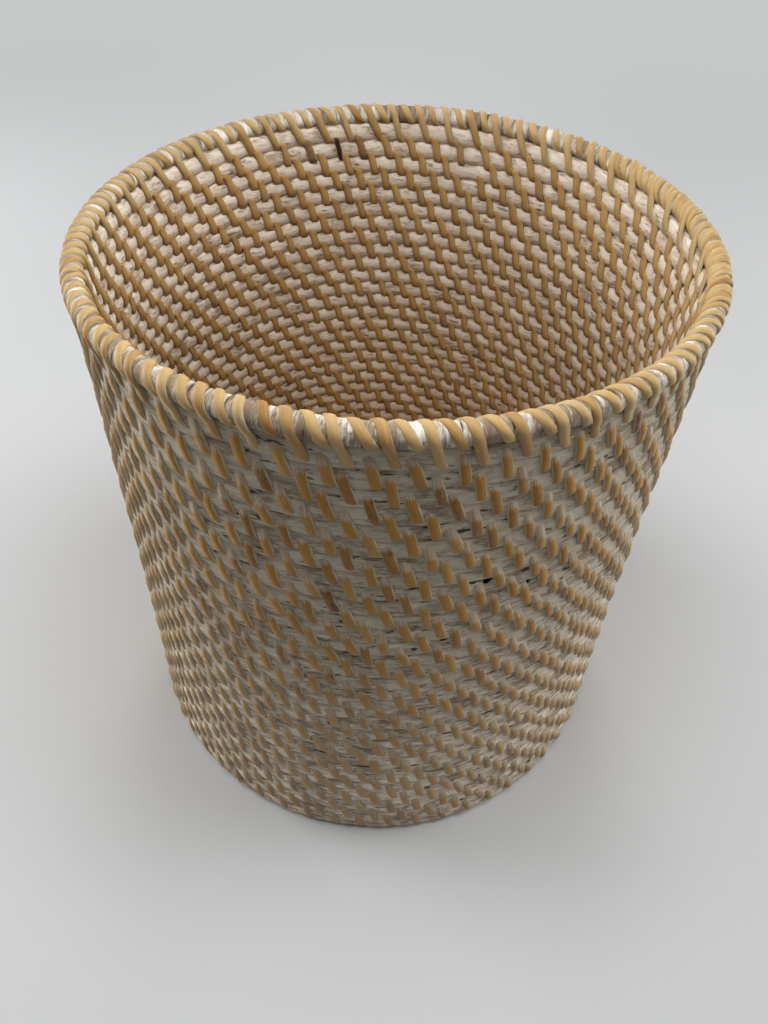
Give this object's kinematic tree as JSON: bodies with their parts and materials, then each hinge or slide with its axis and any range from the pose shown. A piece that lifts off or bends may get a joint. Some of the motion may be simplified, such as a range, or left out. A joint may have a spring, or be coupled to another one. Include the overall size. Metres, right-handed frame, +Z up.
{
  "type": "rattan basket",
  "caption": "Round open basket with straight sides: turns of rattan core stacked and lashed with rattan peel, a flat coiled base and a bound rim.",
  "frame": {"origin": "centre of the underside, in the plane of the surface that the basket stands on", "axes": "+Z up along the basket's axis; the pictured side faces -Y, and +X is to the right in the picture"},
  "size_m": [0.254, 0.254, 0.2548],
  "materials": {
    "core": "rattan core with a worn whitewash, matt, with fine dark grain along its length",
    "peel": "split rattan peel, honey brown, satin"
  },
  "bodies": {
    "root": {"base_centre": "core", "base_coil_01": "core", "base_coil_02": "core", "base_coil_03": "core", "base_coil_04": "core", "base_coil_05": "core", "base_coil_06": "core", "base_coil_07": "core", "base_coil_08": "core", "base_coil_09": "core", "base_coil_10": "core", "base_coil_11": "core", "base_coil_12": "core", "base_coil_13": "core", "base_coil_14": "core", "base_coil_15": "core", "foot_coil": "core", "wall_coil_01": "core", "wall_coil_02": "core", "wall_coil_03": "core", "wall_coil_04": "core", "wall_coil_05": "core", "wall_coil_06": "core", "wall_coil_07": "core", "wall_coil_08": "core", "wall_coil_09": "core", "wall_coil_10": "core", "wall_coil_11": "core", "wall_coil_12": "core", "wall_coil_13": "core", "wall_coil_14": "core", "wall_coil_15": "core", "wall_coil_16": "core", "wall_coil_17": "core", "wall_coil_18": "core", "wall_coil_19": "core", "wall_coil_20": "core", "wall_coil_21": "core", "wall_coil_22": "core", "wall_coil_23": "core", "wall_coil_24": "core", "wall_coil_25": "core", "wall_coil_26": "core", "wall_coil_27": "core", "wall_coil_28": "core", "wall_coil_29": "core", "wall_coil_30": "core", "wall_coil_31": "core", "rim_rod": "core", "rim_binding": "peel"}
  },
  "joints": []
}
